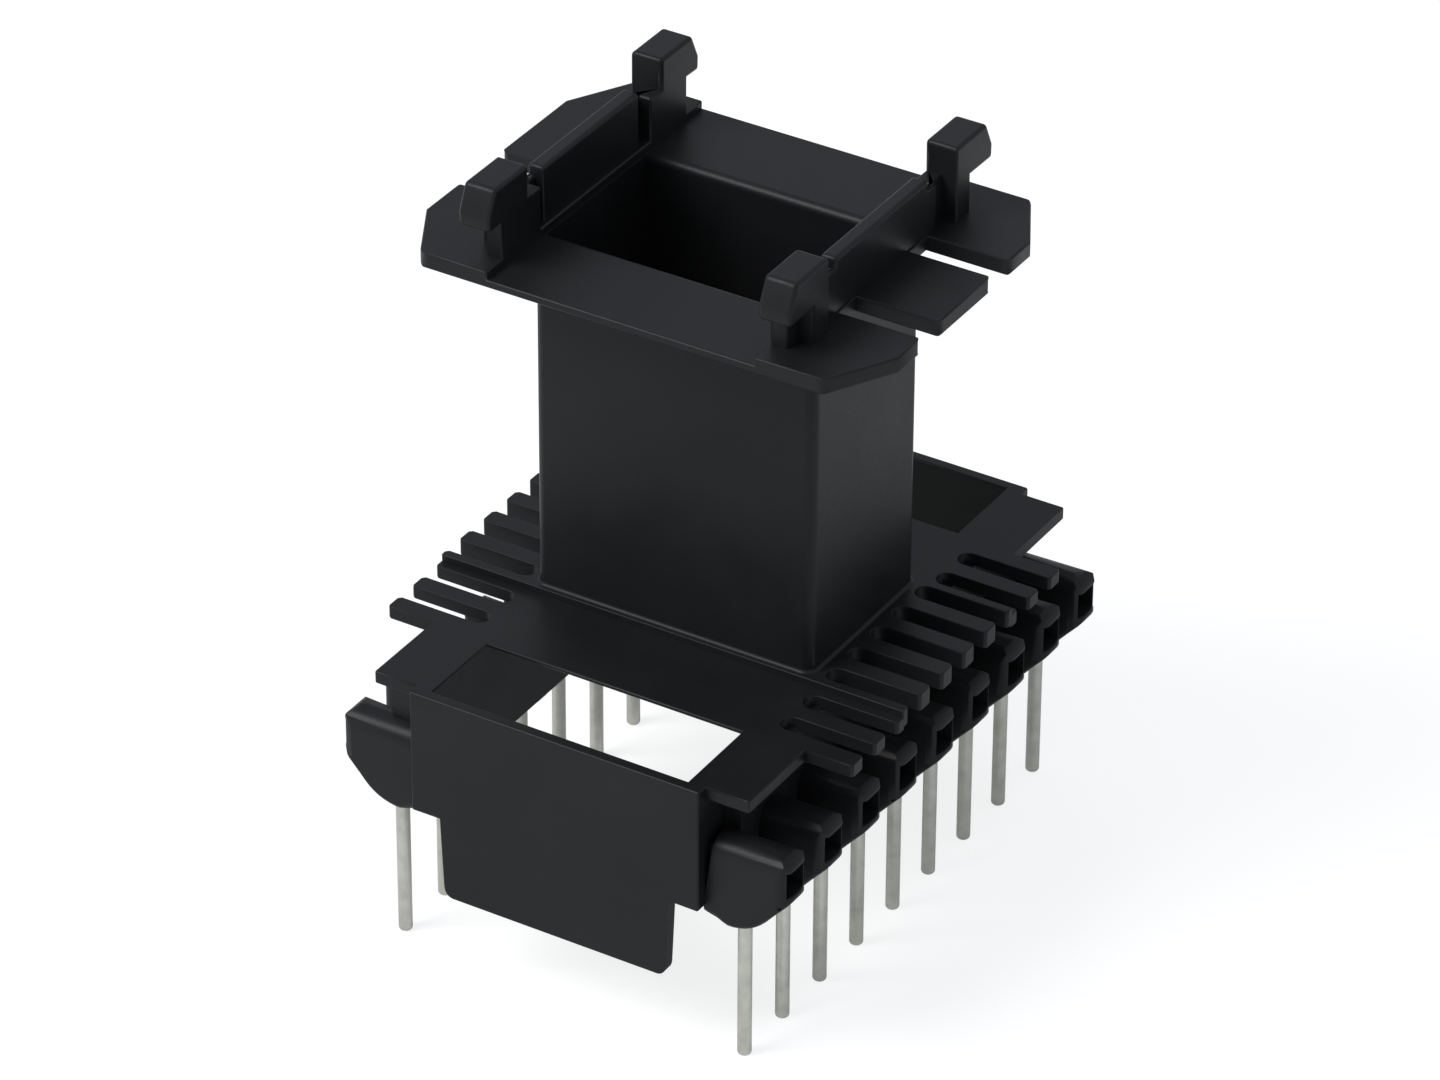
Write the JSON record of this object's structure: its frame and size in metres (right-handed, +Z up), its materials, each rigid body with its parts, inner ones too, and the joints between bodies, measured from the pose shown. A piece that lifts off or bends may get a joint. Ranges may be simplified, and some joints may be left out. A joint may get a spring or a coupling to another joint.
{
  "type": "transformer bobbin",
  "caption": "Upright moulded bobbin for a pair of E cores: rectangular winding tube between a comb-edged lower plate and a hooked top flange, with two rows of solder pins.",
  "frame": {"origin": "on the board side of the pin tips, under the middle of the winding tube", "axes": "+Z up the winding tube, Y along the pin rows, X from the left row to the right row"},
  "size_m": [0.0372, 0.0448, 0.0567],
  "materials": {
    "moulding": "satin black",
    "pin_wire": "tinned"
  },
  "bodies": {
    "root": {"bobbin_body": "moulding", "pin_left_1": "pin_wire", "pin_left_2": "pin_wire", "pin_left_3": "pin_wire", "pin_left_4": "pin_wire", "pin_left_5": "pin_wire", "pin_left_6": "pin_wire", "pin_left_7": "pin_wire", "pin_left_8": "pin_wire", "pin_left_9": "pin_wire", "pin_right_1": "pin_wire", "pin_right_2": "pin_wire", "pin_right_3": "pin_wire", "pin_right_4": "pin_wire", "pin_right_5": "pin_wire", "pin_right_6": "pin_wire", "pin_right_7": "pin_wire", "pin_right_8": "pin_wire", "pin_right_9": "pin_wire"}
  },
  "joints": []
}
